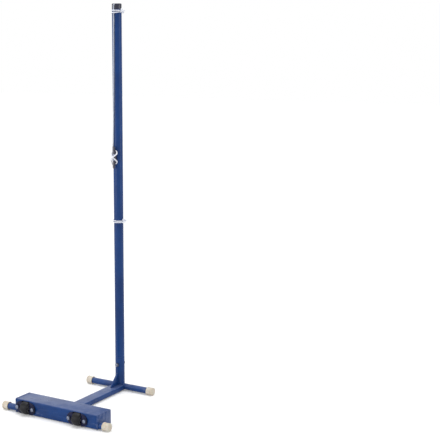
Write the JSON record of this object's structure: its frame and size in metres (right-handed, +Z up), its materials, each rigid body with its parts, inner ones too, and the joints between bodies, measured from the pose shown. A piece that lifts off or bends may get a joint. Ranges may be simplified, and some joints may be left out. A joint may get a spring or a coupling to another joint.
{
  "type": "badminton net post",
  "caption": "Free-standing badminton net post: round steel upright in a T-shaped base with a ballast box, tilting wheels, cord cleat and white cords.",
  "frame": {"origin": "bottom centre of the bounding box, on the floor; the upright's axis is at x 0, y 0.21825", "axes": "+Z up along the upright; +X along the cross feet; -Y from the upright along the stem to the ballast box, which is the side the wheels are on; the net is on the +Y side"},
  "size_m": [0.496, 0.4976, 1.55],
  "materials": {
    "blue_paint": "semi-gloss powder coat",
    "dark_paint": "semi-gloss",
    "black_plastic": "moulded, fine grain",
    "cream_plastic": "moulded, soft",
    "tyre": "matte",
    "grey_nylon": "moulded",
    "zinc_steel": "zinc plated",
    "raw_steel": "bare",
    "cast_ballast": "as cast",
    "white_cord": "braided"
  },
  "bodies": {
    "base": {"ballast_bar_1": "cast_ballast", "ballast_bar_2": "cast_ballast", "ballast_bar_3": "cast_ballast", "ballast_block_left": "cast_ballast", "ballast_block_middle": "cast_ballast", "ballast_block_right": "cast_ballast", "base_socket": "blue_paint", "bracket_bolt_left_left": "zinc_steel", "bracket_bolt_left_right": "zinc_steel", "bracket_bolt_right_left": "zinc_steel", "bracket_bolt_right_right": "zinc_steel", "bracket_nut_left_left": "zinc_steel", "bracket_nut_left_right": "zinc_steel", "bracket_nut_right_left": "zinc_steel", "bracket_nut_right_right": "zinc_steel", "bracket_washer_left_left": "zinc_steel", "bracket_washer_left_right": "zinc_steel", "bracket_washer_right_left": "zinc_steel", "bracket_washer_right_right": "zinc_steel", "cleat_screw_lower": "zinc_steel", "cleat_screw_upper": "zinc_steel", "cord_cleat": "black_plastic", "front_foot_cap_left": "cream_plastic", "front_foot_cap_right": "cream_plastic", "front_foot_tube": "blue_paint", "gusset": "blue_paint", "lower_tie_cord": "white_cord", "rear_foot_cap_left": "cream_plastic", "rear_foot_cap_right": "cream_plastic", "rear_foot_left": "blue_paint", "rear_foot_right": "blue_paint", "socket_bolt": "zinc_steel", "socket_bolt_nut": "zinc_steel", "socket_bolt_washer": "zinc_steel", "socket_nut_washer": "zinc_steel", "stem": "blue_paint", "tension_cord": "white_cord", "top_cap": "black_plastic", "top_tie_cord": "white_cord", "upright_spigot": "raw_steel", "upright_tube": "blue_paint", "weight_box_cover": "blue_paint", "weight_box_end_left": "blue_paint", "weight_box_end_right": "blue_paint", "weight_box_floor": "blue_paint", "wheel_axle_clip_left": "zinc_steel", "wheel_axle_clip_right": "zinc_steel", "wheel_axle_left": "zinc_steel", "wheel_axle_right": "zinc_steel", "wheel_bracket_left": "dark_paint", "wheel_bracket_right": "dark_paint"},
    "wheel_left": {"wheel_hub_left": "grey_nylon", "wheel_tyre_left": "tyre"},
    "wheel_right": {"wheel_hub_right": "grey_nylon", "wheel_tyre_right": "tyre"}
  },
  "joints": [
    {"name": "wheel_left_spin", "type": "hinge", "parent": "base", "child": "wheel_left", "pos_m": [-0.13, -0.22275, 0.028], "axis": [1, 0, 0], "continuous": true},
    {"name": "wheel_right_spin", "type": "hinge", "parent": "base", "child": "wheel_right", "pos_m": [0.113, -0.22275, 0.028], "axis": [1, 0, 0], "continuous": true}
  ]
}
